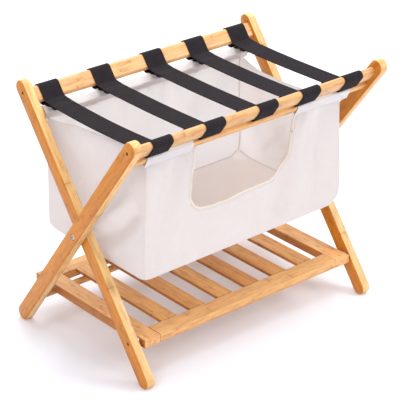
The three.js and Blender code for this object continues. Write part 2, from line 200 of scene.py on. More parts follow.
def grid_faces(rows, columns):
    """The cells of a grid whose points are stored row by row."""
    return [
        (r * columns + c, r * columns + c + 1, (r + 1) * columns + c + 1, (r + 1) * columns + c)
        for r in range(rows - 1)
        for c in range(columns - 1)
    ]


def ribbon(name, line, across, thickness, materials, start=0.0, move=None):
    """Cloth that runs along a line of (y, z) points and spans the x places in across."""
    rows, columns = len(line), len(across)
    points = np.array([(x, y, z) for y, z in line for x in across])
    far = start + lengths(line)
    flat = np.array([(x, v) for v in far for x in across])
    if move is not None:
        points = move(points)
    faces = grid_faces(rows, columns)
    uvs = [[flat[i] for i in face] for face in faces]
    return shell(name, points, faces, uvs, thickness, materials)


def ring_faces(rings, sides, base=0):
    """The faces of a closed tube whose points are stored ring by ring, from the point numbered base on."""
    faces = []
    for a in range(base, base + (rings - 1) * sides, sides):
        for k in range(sides):
            n = (k + 1) % sides
            faces.append((a + k, a + n, a + sides + n, a + sides + k))
    last = base + (rings - 1) * sides
    faces.append(tuple(base + k for k in reversed(range(sides))))
    faces.append(tuple(last + k for k in range(sides)))
    return faces


def tube(name, line, radius, materials, flat=1.0, side=None, sides=8):
    """A closed tube along a line. flat squeezes its section along side, which is given for each point."""
    line = np.asarray(line, float)
    ahead = unit(np.gradient(line, axis=0))
    side = unit(np.cross(ahead, [0.0, 0.0, 1.0]) + [1e-6, 0, 0]) if side is None else unit(side)
    side = unit(side - (side * ahead).sum(1, keepdims=True) * ahead)
    up = np.cross(ahead, side)
    section = [(flat * math.cos(t), math.sin(t)) for t in np.arange(sides) * 2 * math.pi / sides]
    rings = [p + radius * (a * s + b * u) for p, s, u in zip(line, side, up) for a, b in section]
    return mesh_piece(name, rings, ring_faces(len(line), sides), materials)


STITCH = {"pitch": 0.0036, "length": 0.0026, "radius": 0.00032, "sides": 6}
STITCH_ARCH = [(0, 0.0), (0.25, 1.0), (0.75, 1.0), (1, 0.0)]  # share of the length, and rise


def stitches(name, lines, material, lift=0.0001):
    """Rows of short threads. Each line is (points, normals), and its stitches stand along the normals."""
    points, faces = [], []
    for line, normals in lines:
        far = lengths(line)
        for start in np.arange(STITCH["pitch"] / 2, far[-1] - STITCH["length"], STITCH["pitch"]):
            places = [start + share * STITCH["length"] for share, _ in STITCH_ARCH]
            centres = np.array([[np.interp(at, far, line[:, k]) for k in range(3)] for at in places])
            up = unit(np.array([np.interp(start, far, normals[:, k]) for k in range(3)]))
            ahead = unit(centres[-1] - centres[0])
            side = unit(np.cross(ahead, up))
            base = len(points)
            for centre, (_, high) in zip(centres, STITCH_ARCH):
                middle = centre + up * (lift + high * STITCH["radius"] * 0.6)
                size = STITCH["radius"] * (0.55 + 0.45 * high)
                for k in range(STITCH["sides"]):
                    turn = k * 2 * math.pi / STITCH["sides"]
                    points.append(middle + size * (math.cos(turn) * side + math.sin(turn) * up))
            faces += ring_faces(len(STITCH_ARCH), STITCH["sides"], base)
    return mesh_piece(name, points, faces, [material])


# ---- material helpers


class Look:
    """A material in the making: a Principled shader, and the nodes that feed it."""

    def __init__(self, name, **shader):
        self.material = bpy.data.materials.new(name)
        self.material.use_nodes = True
        self.tree = self.material.node_tree
        self.shader = self.tree.nodes["Principled BSDF"]
        for socket, value in shader.items():
            self.shader.inputs[socket.replace("_", " ")].default_value = value

    def feed(self, socket, value):
        if isinstance(value, bpy.types.NodeSocket):
            self.tree.links.new(value, socket)
        else:
            socket.default_value = value

    def node(self, kind, output, settings=None, **inputs):
        """Adds a node and returns its named output."""
        node = self.tree.nodes.new(kind)
        for key, value in (settings or {}).items():
            setattr(node, key, value)
        for key, value in inputs.items():
            self.feed(node.inputs[key.replace("_", " ")], value)
        return node.outputs[output]

    def math(self, operation, *values):
        node = self.tree.nodes.new("ShaderNodeMath")
        node.operation = operation
        for socket, value in zip(node.inputs, values):
            self.feed(socket, value)
        return node.outputs[0]

    plus = partialmethod(math, "ADD")
    minus = partialmethod(math, "SUBTRACT")
    times = partialmethod(math, "MULTIPLY")
    over = partialmethod(math, "DIVIDE")

    def scaled(self, vector, scale):
        node = self.tree.nodes.new("ShaderNodeVectorMath")
        node.operation = "MULTIPLY"
        self.feed(node.inputs[0], vector)
        node.inputs[1].default_value = scale
        return node.outputs[0]

    def noise(self, vector, stretch=None, scale=1.0, detail=2.0, roughness=0.5):
        """Smooth noise from 0 to 1. stretch multiplies the three coordinates."""
        vector = self.scaled(vector, stretch) if stretch else vector
        texture = {"Scale": scale, "Detail": detail, "Roughness": roughness}
        return self.node("ShaderNodeTexNoise", "Fac", Vector=vector, **texture)

    def place(self):
        """The shaded point, in its object's own coordinates."""
        return self.node("ShaderNodeTexCoord", "Object")

    def split(self, vector):
        node = self.tree.nodes.new("ShaderNodeSeparateXYZ")
        self.feed(node.inputs[0], vector)
        return list(node.outputs)

    def joined(self, x, y, z=0.0):
        return self.node("ShaderNodeCombineXYZ", "Vector", X=x, Y=y, Z=z)

    def between(self, value, low, high, to_low=0.0, to_high=1.0):
        """value's range from low to high, stretched to another range and held inside it."""
        ends = {"From_Min": low, "From_Max": high, "To_Min": to_low, "To_Max": to_high}
        return self.node("ShaderNodeMapRange", "Result", Value=value, **ends)

    def mix(self, factor, a, b, blend="MIX"):
        """Two colours mixed, each a colour socket or (red, green, blue)."""
        node = self.tree.nodes.new("ShaderNodeMix")
        node.data_type = "RGBA"
        node.blend_type = blend
        self.feed(node.inputs["Factor"], factor)
        for name, value in (("A", a), ("B", b)):
            socket = next(s for s in node.inputs if s.name == name and s.type == "RGBA")
            self.feed(socket, value if isinstance(value, bpy.types.NodeSocket) else (*value, 1.0))
        return next(s for s in node.outputs if s.type == "RGBA")

    def finish(self, colour, roughness, height, distance, strength=1.0):
        """Colour, roughness and a bump of that height in metres, on the shader."""
        bump = self.node("ShaderNodeBump", "Normal", Height=height, Distance=distance, Strength=strength)
        for name, value in (("Base Color", colour), ("Roughness", roughness), ("Normal", bump)):
            self.feed(self.shader.inputs[name], value)
        return self.material


# ---- materials

BAMBOO_PALE = (0.80, 0.445, 0.17)
BAMBOO_MIDDLE = (0.60, 0.265, 0.075)
BAMBOO_DARK = (0.27, 0.078, 0.014)
# Painted light and shade, by which way a face looks: what a piece keeps of those colours on its faces
# towards +X and -X, darkened as painted shade, and on its other faces, paled or tinted as painted light.
PAINTED_FACE_LIGHT_AND_SHADE = {
    "leg": ((0.87, 0.60, 0.13), (1.12, 1.34, 1.55)),
    "top_rail": ((0.87, 0.60, 0.13), (0.98, 1.09, 1.30)),
    "slat": ((0.64, 0.43, 0.15), (0.93, 0.87, 0.72)),
    "shelf_end": ((0.70, 0.50, 0.22), (1.07, 1.12, 1.25)),
    "other": ((0.87, 0.60, 0.16), (1.0, 1.04, 1.10)),
}
SLAT_VARIETY = 0.45  # how far one slat's tone may differ from another's
STRIP = 0.0066  # width of one glued strip of bamboo
KNUCKLE_SPACING = 0.23


def bamboo(name, axis, lean, seed, kind):
    """Lacquered bamboo with its fibres along axis, turned by lean about X. seed shifts its pattern, and
    kind picks its painted light and shade.
    """
    look = Look(name, Coat_Weight=0.16, Coat_Roughness=0.3, Specular_IOR_Level=0.3)
    place = look.place()
    move = {"Rotation": (-lean * LEAN, 0, 0), "Location": (0.137 * seed, 0.211 * seed, 0.173 * seed)}
    turned = look.node("ShaderNodeMapping", "Vector", Vector=place, **move)
    x, y, z = look.split(turned)
    far, wide, deep = {"X": (x, z, y), "Y": (y, x, z), "Z": (z, y, x)}[axis]
    grain = look.joined(far, wide, deep)

    lane = look.math("FLOOR", look.over(wide, STRIP))
    side = look.math("FLOOR", look.over(deep, 3 * STRIP))
    strip_random = look.node("ShaderNodeTexWhiteNoise", "Value", Vector=look.joined(lane, side))
    across = look.math("FRACT", look.over(wide, STRIP))
    glue_line = look.between(look.math("ABSOLUTE", look.minus(across, 0.5)), 0.46, 0.5)

    streaks = look.noise(grain, (5.0, 420.0, 420.0), detail=3.0, roughness=0.6)
    fibres = look.noise(grain, (16.0, 1900.0, 1900.0), detail=2.0)
    clouds = look.noise(grain, (4.0, 30.0, 30.0), detail=2.0)
    mottle = look.noise(grain, (26.0, 150.0, 150.0), detail=3.0, roughness=0.6)
    flecks = look.noise(grain, (75.0, 260.0, 260.0), detail=3.0, roughness=0.65)
    pores = look.between(look.noise(grain, (70.0, 2600.0, 2600.0), detail=1.0), 0.64, 0.74)

    turns = look.plus(look.over(far, KNUCKLE_SPACING), look.times(strip_random, 7.0))
    off_middle = look.math("ABSOLUTE", look.minus(look.math("FRACT", turns), 0.5))
    from_knuckle = look.times(off_middle, KNUCKLE_SPACING)
    wander = look.times(look.noise(grain, (0.0, 300.0, 300.0)), 0.003)
    from_knuckle = look.plus(from_knuckle, wander)
    knuckle = look.between(from_knuckle, 0.0042, 0.0015)
    halo = look.between(from_knuckle, 0.018, 0.004)

    tone = look.plus(look.times(strip_random, 0.34), look.times(streaks, 0.55))
    tone = look.plus(tone, look.times(clouds, 0.42))
    tone = look.plus(tone, look.times(flecks, 0.34))
    shift = SLAT_VARIETY * (seed * 0.618 % 1 - 0.5) if kind == "slat" else 0.0
    tone = look.between(tone, 0.52 + shift, 1.12 + shift)
    colour = look.mix(tone, BAMBOO_MIDDLE, BAMBOO_PALE)
    dark_fibres = look.between(fibres, 0.55, 0.8)
    marks = [(dark_fibres, 0.35), (halo, 0.16), (knuckle, 0.45), (pores, 0.4), (glue_line, 0.3)]
    for mark, strength in marks:
        colour = look.mix(look.times(mark, strength), colour, BAMBOO_DARK)
    colour = look.mix(look.between(mottle, 0.46, 0.72, 0.0, 0.40), colour, BAMBOO_DARK)
    # Painted shade on the faces towards +X and -X, and painted light on the others, mixed by which way the
    # face looks.
    sideways = look.split(look.node("ShaderNodeTexCoord", "Normal"))[0]
    painted_shade_share = look.between(look.math("ABSOLUTE", sideways), 0.3, 0.8)
    painted_shade_tone, painted_light_tone = PAINTED_FACE_LIGHT_AND_SHADE[kind]
    colour = look.mix(1.0, colour, look.mix(painted_shade_share, painted_light_tone, painted_shade_tone), "MULTIPLY")

    roughness = look.between(streaks, 0.2, 0.8, 0.36, 0.52)
    height = look.minus(look.times(fibres, 0.35), look.times(glue_line, 0.4))
    height = look.plus(height, look.times(knuckle, 0.6))
    return look.finish(colour, roughness, height, 0.0002, 0.5)


def weave(look, pitch_u, pitch_v):
    """A plain weave's height, from 0 to 1, on the flat cloth, and its flat coordinates."""
    flat = look.node("ShaderNodeUVMap", "UV", {"uv_map": "cloth"})
    u, v, _ = look.split(flat)
    columns = look.over(u, pitch_u)
    rows = look.over(v, pitch_v)
    crossing = look.plus(look.math("FLOOR", columns), look.math("FLOOR", rows))
    over = look.math("ROUND", look.math("FRACT", look.times(crossing, 0.5)))
    halves = (look.times(look.math("FRACT", count), math.pi) for count in (columns, rows))
    arch_u, arch_v = (look.math("SINE", half) for half in halves)
    warp = look.times(over, arch_v)
    weft = look.times(look.minus(1.0, over), arch_u)
    low = look.times(look.math("MINIMUM", arch_u, arch_v), 0.5)
    return look.math("MAXIMUM", low, look.plus(warp, weft)), flat


def webbing():
    """Near-black woven webbing with a fine rib across it and slightly worn, paler thread tops."""
    look = Look("webbing", Specular_IOR_Level=0.1)
    threads, flat = weave(look, 0.0013, 0.0024)
    slubs = look.noise(flat, (900.0, 60.0, 1.0), detail=2.0)
    wear = look.noise(flat, (40.0, 25.0, 1.0), detail=3.0)
    colour = look.mix(threads, (0.006, 0.0050, 0.0064), (0.026, 0.0210, 0.0255))
    colour = look.mix(look.between(slubs, 0.35, 0.7, 0.0, 0.45), colour, (0.046, 0.038, 0.042))
    colour = look.mix(look.between(wear, 0.42, 0.75, 0.0, 0.3), colour, (0.038, 0.032, 0.035))
    roughness = look.between(slubs, 0.2, 0.8, 0.72, 0.92)
    return look.finish(colour, roughness, threads, 0.0007, 1.0)


def lit_through(look, colour, share):
    """Thin cloth lets a share of the light through, so the bag's inside glows."""
    glow = look.node("ShaderNodeBsdfTranslucent", "BSDF", Color=colour)
    mixed = look.tree.nodes.new("ShaderNodeMixShader")
    mixed.inputs[0].default_value = share
    look.feed(mixed.inputs[1], look.shader.outputs[0])
    look.feed(mixed.inputs[2], glow)
    look.feed(look.tree.nodes["Material Output"].inputs["Surface"], mixed.outputs[0])


def canvas(name, shade, pale, through):
    """Cotton canvas: a plain weave with thick and thin threads, and faint clouds of colour."""
    look = Look(name, Sheen_Weight=0.12, Sheen_Roughness=0.5, Specular_IOR_Level=0.2)
    threads, flat = weave(look, 0.0009, 0.0009)
    upright = look.noise(flat, (1400.0, 40.0, 1.0), detail=2.0)
    level = look.noise(flat, (40.0, 1400.0, 1.0), detail=2.0)
    clouds = look.noise(flat, (14.0, 11.0, 1.0), detail=3.0)
    flecks = look.between(look.noise(flat, (700.0, 700.0, 1.0), detail=1.0), 0.72, 0.82)
    slub = look.times(look.plus(upright, level), 0.5)
    colour = look.mix(look.between(slub, 0.35, 0.65), shade, pale)
    colour = look.mix(look.between(clouds, 0.35, 0.7, 0.0, 0.35), colour, shade)
    between_threads = look.minus(1.0, threads)
    colour = look.mix(look.times(between_threads, 0.10), colour, (0.6, 0.54, 0.5))
    colour = look.mix(look.times(flecks, 0.25), colour, (0.55, 0.45, 0.34))
    roughness = look.between(slub, 0.3, 0.7, 0.84, 0.97)
    height = look.plus(threads, look.times(slub, 0.8))
    lit_through(look, colour, through)
    return look.finish(colour, roughness, height, 0.0003, 0.7)


def thread(name, colour):
    """Sewing thread, twisted, so that its plies show as a fine slant."""
    look = Look(name, Sheen_Weight=0.2, Specular_IOR_Level=0.3)
    place = look.place()
    plies = look.noise(place, (1500.0, 1500.0, 4200.0), detail=1.0)
    dark = tuple(c * 0.7 for c in colour)
    shade = look.mix(plies, dark, colour)
    return look.finish(shade, look.between(plies, 0.2, 0.8, 0.6, 0.8), plies, 0.0002)


def tape(name, colour):
    """Woven cotton tape that binds the bag's raw edges: fine ribs and uneven dye."""
    look = Look(name, Sheen_Weight=0.15, Specular_IOR_Level=0.2)
    place = look.place()
    ribs = look.noise(place, (1700.0, 1700.0, 1700.0), detail=1.0)
    dye = look.noise(place, scale=60.0, detail=3.0)
    dark = tuple(c * 0.72 for c in colour)
    tone = look.plus(look.times(ribs, 0.5), look.times(dye, 0.5))
    roughness = look.between(dye, 0.2, 0.8, 0.8, 0.95)
    return look.finish(look.mix(tone, dark, colour), roughness, ribs, 0.0003)


def zinc_steel(name, bright, dull):
    """Zinc-plated steel: a satin metal with fine turning marks and a few rubbed patches."""
    look = Look(name, Metallic=1.0)
    place = look.place()
    rubbed = look.noise(place, scale=260.0, detail=3.0)
    marks = look.noise(place, (300.0, 2600.0, 2600.0), detail=2.0)
    colour = look.mix(look.between(rubbed, 0.35, 0.7), bright, dull)
    return look.finish(colour, look.between(rubbed, 0.3, 0.7, 0.24, 0.46), marks, 0.0001, 0.4)


WEBBING = webbing()
# One cloth in three copies: the inside's canvas is painted paler and warmer than the outside's as painted
# light, and the casings' a little darker as painted shade.
CANVAS = canvas("canvas_outside", (0.885, 0.85, 0.85), (0.955, 0.93, 0.935), 0.62)
CANVAS_INSIDE = canvas("canvas_inside", (0.96, 0.945, 0.925), (0.99, 0.98, 0.965), 0.72)
CANVAS_ON_WOOD = canvas("canvas_casing", (0.88, 0.84, 0.835), (0.95, 0.915, 0.915), 0.30)
BLACK_THREAD = thread("thread_black", (0.05, 0.046, 0.055))
PALE_THREAD = thread("thread_pale", (0.84, 0.77, 0.72))
SEAM_TAPE = tape("seam_tape", (0.90, 0.82, 0.72))
BINDING = tape("binding_tape", (0.80, 0.71, 0.60))
STEEL = zinc_steel("zinc_steel_plated", (0.62, 0.63, 0.65), (0.40, 0.40, 0.41))
# Near-black steel for the screws and shelf bolts: painted shade for the dark recesses they sit in.
STEEL_DARK_AS_PAINTED_SHADE = zinc_steel("zinc_steel_blackened", (0.09, 0.08, 0.075), (0.04, 0.035, 0.03))

# ---- CAD pieces that stay


def softened():
    """Modifier nodes that weld a CAD mesh and smooth its shading, except over its sharp edges."""
    tree = bpy.data.node_groups.new("softened_edges", "GeometryNodeTree")
    tree.interface.new_socket("Geometry", in_out="INPUT", socket_type="NodeSocketGeometry")
    tree.interface.new_socket("Geometry", in_out="OUTPUT", socket_type="NodeSocketGeometry")
    add, link = tree.nodes.new, tree.links.new
    start = add("NodeGroupInput")
    end = add("NodeGroupOutput")
    weld = add("GeometryNodeMergeByDistance")
    weld.inputs["Distance"].default_value = 1e-5
    faces = add("GeometryNodeSetShadeSmooth")
    edges = add("GeometryNodeSetShadeSmooth")
    edges.domain = "EDGE"
    edges.inputs["Shade Smooth"].default_value = False
    angle = add("GeometryNodeInputMeshEdgeAngle")
    sharp = add("FunctionNodeCompare")
    sharp.operation = "GREATER_THAN"
    sharp.inputs["B"].default_value = math.radians(35)
    link(start.outputs[0], weld.inputs["Geometry"])
    link(weld.outputs[0], faces.inputs["Geometry"])
    link(faces.outputs[0], edges.inputs["Geometry"])
    link(angle.outputs["Unsigned Angle"], sharp.inputs["A"])
    link(sharp.outputs[0], edges.inputs["Selection"])
    link(edges.outputs[0], end.inputs[0])
    return tree


SOFTENED = softened()


def paint(node, material):
    """Gives a CAD node its finish and smooth shading. Its mesh stays as it is."""
    obj = frame["nodes"][node]
    for slot in obj.material_slots:
        slot.link = "OBJECT"
        slot.material = material
    obj.modifiers.new("softened_edges", "NODES").node_group = SOFTENED


def paint_bamboo():
    """Each bamboo piece has its own pattern, with the fibres along its length."""
    frames = {"outer_": 1, "front_": 1, "shelf_rest_dowel": 1, "inner_": -1, "back_": -1}
    wooden = [n for n, o in frame["nodes"].items() if o.data.materials[0].name.startswith("bamboo")]
    for seed, node in enumerate(sorted(wooden)):
        lean = next((way for start, way in frames.items() if node.startswith(start)), 0)
        kind = next((kind for kind in PAINTED_FACE_LIGHT_AND_SHADE if kind in node), "other")
        axis = {"leg": "Z", "slat": "Y", "shelf_end": "Y"}.get(kind, "X")
        paint(node, bamboo(f"bamboo_{node}", axis, lean, seed + 1, kind))


def paint_steel():
    """The screws and the shelf's bolts get dark steel as painted shade for their recesses, and the rest is
    bright.
    """
    for node, obj in frame["nodes"].items():
        if obj.data.materials[0].name.startswith("zinc_steel"):
            dark_as_painted_shade = "rail_screw" in node or "shelf_bolt" in node
            paint(node, STEEL_DARK_AS_PAINTED_SHADE if dark_as_painted_shade else STEEL)


paint_bamboo()
paint_steel()

# ---- straps

STRAP = {"thickness": 0.0019, "snug": 0.0003, "loose": 0.0006}
STRAP_START = 0.012  # below the rail's middle, where the band leaves the loop on the inner face
STRAP_BEND = 0.006  # radius of the band's turn off that face
STRAP_JOIN = 0.025  # from the rail to where the two layers meet
STRAP_TAIL = 0.037  # from the rail to the sewn layer's end
STRAP_HEM = 0.013  # the length folded under at that end
STRAP_DIP = 0.0036  # of the join below the rail's lower edge
STRAP_SAGS = [0.0035, 0.0015, 0.0015, 0.002, 0.0015]
STRAP_STEP = 0.004
STRAP_COLUMNS = 13


def strap_lines(end, sag):
    """A strap's three lines at one end: the loop round the rail, half of the band, and the sewn tail.

    The band starts flat on the rail's inner face, under the loop, and bends off it towards the join. The
    tail comes straight from the rail's lowest edge, and is sewn to the band from the join on.
    """
    half = STRAP["thickness"] / 2
    high = RAIL["width"] / 2 + STRAP["loose"] + half
    inner, outer = (RAIL["thickness"] / 2 + STRAP[fit] + half for fit in ("snug", "loose"))
    turn = RAIL["round"] + STRAP["loose"] + half

    def corner(height, inset):
        return end.at(RAIL["height"] + height, RAIL["inset"] + inset)

    inwards = np.array([end.lean, 0])
    start = corner(-STRAP_START, inner)
    bend = corner(-RAIL["width"] / 2 - half, inner)
    lowest = corner(-high, -outer)
    join = bend + inwards * STRAP_JOIN - [0, STRAP_DIP]
    under_join = join - [0, STRAP["thickness"] + 0.0002]
    release = lowest + (under_join - lowest) * 0.48
    over_rail = [start, corner(high, inner), corner(high, -outer), lowest, release]
    loop = rounded(over_rail, [turn, turn, turn], STRAP_STEP)
    middle = np.array([0, join[1] - 0.0006])
    steps = np.linspace(0, 1, 34)[1:]
    hanging = [join + (middle - join) * t - [0, sag * t * (2 - t)] for t in steps]
    leaving = rounded([start, bend, join, hanging[2]], [STRAP_BEND, 0.03], STRAP_STEP)
    band = np.concatenate([leaving, hanging[3:]])
    end_share = (STRAP_TAIL - STRAP_JOIN) / abs(join[0])
    tail_end = join + (middle - join) * end_share - [0, STRAP["thickness"] + 0.0003]
    tail_end = tail_end - [0, sag * end_share * (2 - end_share)]
    down = np.array([0, STRAP["thickness"] + 0.0004])
    hem_end = tail_end - down - inwards * STRAP_HEM
    sewn = [release, under_join, tail_end, tail_end - down, hem_end]
    tail = rounded(sewn, [0.03, down[1] * 0.49, down[1] * 0.49], STRAP_STEP)
    return loop, band, tail


def fold_flat(obj, end, inset=0.0):
    """The piece moves with one frame. inset is not used."""
    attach(obj, end.body)
    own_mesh(obj)


def strap(number, sag):
    """One strap: at each end a loop round the rail, half of the band and the sewn tail under it.

    Each end's loop, band, tail and stitches move with that end's frame.
    """
    node = f"strap_{number}"
    low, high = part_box(node)
    across = np.linspace(low.x, high.x, STRAP_COLUMNS)
    for end, where in ((OUTER, "front"), (INNER, "back")):
        loop, band, tail = strap_lines(end, sag)
        lines = {"loop": loop, "band": band[::-1], "tail": tail}
        made = {}
        for part, line in lines.items():
            if end is INNER:
                line = line[::-1]
            name = f"{node}_{where}_{part}"
            made[part] = ribbon(name, line, across, STRAP["thickness"], [WEBBING])
            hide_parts(node)
        rows = strap_stitches(f"{node}_{where}_stitches", low.x, high.x, tail, band)

        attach(made["loop"], end.body)
        for piece, start in ((made["band"], band[0]), (rows, band[0]), (made["tail"], tail[0])):
            fold_flat(piece, end, end.inset(start))
        for part, line in lines.items():
            size = (high.x - low.x, float(lengths(line)[-1]))


def strap_stitches(name, left, right, tail, band):
    """A box of stitches through the doubled end, on the band's upper face."""
    tail_y = min(tail[:, 0], key=abs)
    out = math.copysign(1, tail_y)
    near, far = tail_y + out * 0.002, tail_y + out * 0.011
    order = np.argsort(band[:, 0])

    def on_band(x, y):
        z = np.interp(y, band[order, 0], band[order, 1]) + STRAP["thickness"] / 2
        return np.stack([x, y, z], axis=1)

    inside = 0.004
    xs = np.linspace(left + inside, right - inside, 30)
    ys = np.linspace(near, far, 8)
    rows = [on_band(xs, np.full_like(xs, y)) for y in (near, far)]
    rows += [on_band(np.full_like(ys, x), ys) for x in (xs[0], xs[-1])]
    up = [0.0, 0.0, 1.0]
    return stitches(name, [(row, np.tile(up, (len(row), 1))) for row in rows], BLACK_THREAD)


for number, sag in enumerate(STRAP_SAGS, start=1):
    strap(number, sag)

# ---- bag

CLOTH = 0.0012
CASING = {"cloth": 0.0008, "gap": 0.0006, "lip": 0.0058, "tuck": 0.0009}

BAG_LOW, BAG_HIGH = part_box("bag_front_panel")
LEFT, RIGHT = BAG_LOW.x, BAG_HIGH.x
FRONT, BACK = BAG_LOW.y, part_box("bag_back_panel")[1].y
BOTTOM, TOP = BAG_LOW.z, BAG_HIGH.z
CELL = 0.0072
SIDE_TOP_HEIGHT = 0.2555  # along the leg, so that a side's top edge stays under the bag bar when folded
EDGE_ROUND = 0.0042

# The window's outline in (x, z), from its upper left round its two lower corners.
WINDOW_CORNERS = [
    (-0.1466, TOP + 0.015),
    (-0.173, PIVOT.z + 0.062),
    (0.099, PIVOT.z + 0.066),
    (0.1294, TOP + 0.015),
]
WINDOW_LINE = rounded(WINDOW_CORNERS, [0.040, 0.066], 0.004)


def ticks(low, high, low_round=True, high_round=True):
    """Grid lines from low to high, a cell apart, and closer where an edge is rounded."""
    fine = [0, EDGE_ROUND / 3, EDGE_ROUND * 2 / 3]
    start = low + (EDGE_ROUND if low_round else 0)
    end = high - (EDGE_ROUND if high_round else 0)
    count = 2 * math.ceil((end - start) / CELL / 2)
    middle = list(np.linspace(start, end, count + 1))
    before = [low + f for f in fine] if low_round else []
    after = [high - f for f in reversed(fine)] if high_round else []
    return before + middle + after


XS = ticks(LEFT, RIGHT)
YS = ticks(FRONT, BACK)
ZS = ticks(BOTTOM, TOP, high_round=False)


def inside_window(x, z):
    """Signed distance to the window's outline, above 0 inside it."""
    a, b = WINDOW_LINE[:-1], WINDOW_LINE[1:]
    p = np.array([x, z])
    d = b - a
    t = np.clip(((p - a) * d).sum(1) / (d * d).sum(1), 0, 1)
    off = p - a - t[:, None] * d
    far = norm(off, axis=1)
    i = int(far.argmin())
    turn = d[i, 0] * (p - a[i])[1] - d[i, 1] * (p - a[i])[0]
    return math.copysign(far[i], turn)


class BagSkin:
    """The bag's cloth before it is hung: a box without a lid, with the window cut in its front."""

    def __init__(self):
        self.mesh = bmesh.new()
        self.rest = self.mesh.verts.layers.float_vector.new("rest")
        self.corner = {}
        last_x, last_y = len(XS) - 1, len(YS) - 1
        self.side(range(last_x + 1), range(len(ZS)), lambda a, b: (a, 0, b))
        self.side(range(last_x, -1, -1), range(len(ZS)), lambda a, b: (a, last_y, b))
        self.side(range(last_y, -1, -1), range(len(ZS)), lambda a, b: (0, a, b))
        self.side(range(last_y + 1), range(len(ZS)), lambda a, b: (last_x, a, b))
        self.side(range(last_x + 1), range(last_y, -1, -1), lambda a, b: (a, b, 0))
        self.cut_window()

    def vertex(self, key):
        if key not in self.corner:
            i, j, k = key
            self.corner[key] = self.mesh.verts.new((XS[i], YS[j], ZS[k]))
        return self.corner[key]

    def side(self, across, up, key):
        """One panel: a grid of cells whose outside faces out."""
        across, up = list(across), list(up)
        for a, b in zip(across, across[1:]):
            for c, d in zip(up, up[1:]):
                self.mesh.faces.new([self.vertex(key(*at)) for at in ((a, c), (b, c), (b, d), (a, d))])

    def cut_window(self):
        """Cuts the front's cells along the window's outline and takes away what is inside it."""
        front = [v for v in self.mesh.verts if v.co.y < FRONT + 1e-6]
        depth = {v: inside_window(v.co.x, v.co.z) for v in front}
        crossing = [e for e in self.mesh.edges if all(v in depth for v in e.verts)]
        for edge in crossing:
            a, b = edge.verts
            if depth[a] * depth[b] < 0:
                share = depth[a] / (depth[a] - depth[b])
                _, new = bmesh.utils.edge_split(edge, a, share)
                depth[new] = 0.0
        for face in list(self.mesh.faces):
            if not all(v in depth for v in face.verts):
                continue
            on_line = [v for v in face.verts if depth[v] == 0.0]
            if len(on_line) == 2 and not any(on_line[1] in e.verts for e in on_line[0].link_edges):
                bmesh.utils.face_split(face, *on_line)
        cut = [f for f in self.mesh.faces if all(v in depth for v in f.verts)]
        gone = [f for f in cut if sum(depth[v] for v in f.verts) > 0]
        bmesh.ops.delete(self.mesh, geom=gone, context="FACES")
        self.window = [v for v in depth if v.is_valid and depth[v] == 0.0]

    def arrays(self):
        """Its points and its faces, and the window's edge as point numbers in order."""
        self.mesh.verts.index_update()
        points = np.array([v.co for v in self.mesh.verts])
        faces = [tuple(v.index for v in f.verts) for f in self.mesh.faces]
        starts = lengths(WINDOW_LINE)

        def along(v):
            p = np.array([v.co.x, v.co.z])
            near = int(norm(WINDOW_LINE - p, axis=1).argmin())
            a = WINDOW_LINE[max(near - 1, 0)]
            d = WINDOW_LINE[min(near + 1, len(WINDOW_LINE) - 1)] - a
            return starts[max(near - 1, 0)] + (p - a) @ d / norm(d)

        window = [v.index for v in sorted(self.window, key=along)]
        grid = {key: v.index for key, v in self.corner.items() if v.is_valid}
        return points, faces, window, grid


def soft_edges(points):
    """Rounds the box's upright and bottom edges."""
    low = np.array([LEFT, FRONT, BOTTOM]) + EDGE_ROUND
    high = np.array([RIGHT, BACK, 9.0]) - EDGE_ROUND
    core = np.clip(points, low, high)
    out = points - core
    return core + unit(out) * np.minimum(norm(out, axis=1, keepdims=True), EDGE_ROUND)


# A soft fold in a panel: its place across the panel at the top and at the bottom, its half width, and
# how far it stands out.
Fold = namedtuple("Fold", "top bottom width out")

FRONT_FOLDS = [
    Fold(top=0.148, bottom=0.100, width=0.015, out=0.0125),
    Fold(top=0.122, bottom=0.055, width=0.014, out=-0.0080),
    Fold(top=0.205, bottom=0.180, width=0.018, out=-0.0090),
    Fold(top=-0.172, bottom=-0.214, width=0.014, out=0.0105),
    Fold(top=-0.205, bottom=-0.262, width=0.014, out=-0.0080),
    Fold(top=-0.120, bottom=-0.060, width=0.030, out=0.0050),
]
BACK_FOLDS = [
    Fold(top=-0.190, bottom=-0.150, width=0.022, out=0.0050),
    Fold(top=-0.070, bottom=-0.095, width=0.018, out=-0.0040),
    Fold(top=0.040, bottom=0.062, width=0.024, out=0.0050),
    Fold(top=0.150, bottom=0.118, width=0.020, out=0.0040),
]
# These are placed by their share of the panel's depth, and slant steeply.
SIDE_FOLDS = [
    Fold(top=-0.29, bottom=0.56, width=0.070, out=-0.019),
    Fold(top=-0.14, bottom=0.71, width=0.045, out=0.010),
    Fold(top=-0.42, bottom=0.40, width=0.035, out=0.006),
    Fold(top=0.10, bottom=0.86, width=0.030, out=-0.005),
]


def ridges(folds, place, level):
    """How far a panel stands out at a place across it. level is 0 at its bottom and 1 at its top."""
    total = np.zeros_like(place)
    for fold in folds:
        middle = fold.bottom + (fold.top - fold.bottom) * level
        width = fold.width * (1.5 - 0.5 * level)
        total += fold.out * np.exp(-(((place - middle) / width) ** 2))
    return total


def crinkle(points, scale, seed):
    """Smooth noise from -1 to 1 at each point."""
    shift = Vector((seed, 2 * seed, 3 * seed))
    return np.array([noise.fractal(Vector(p) * scale + shift, 0.9, 2.0, 3) for p in points])


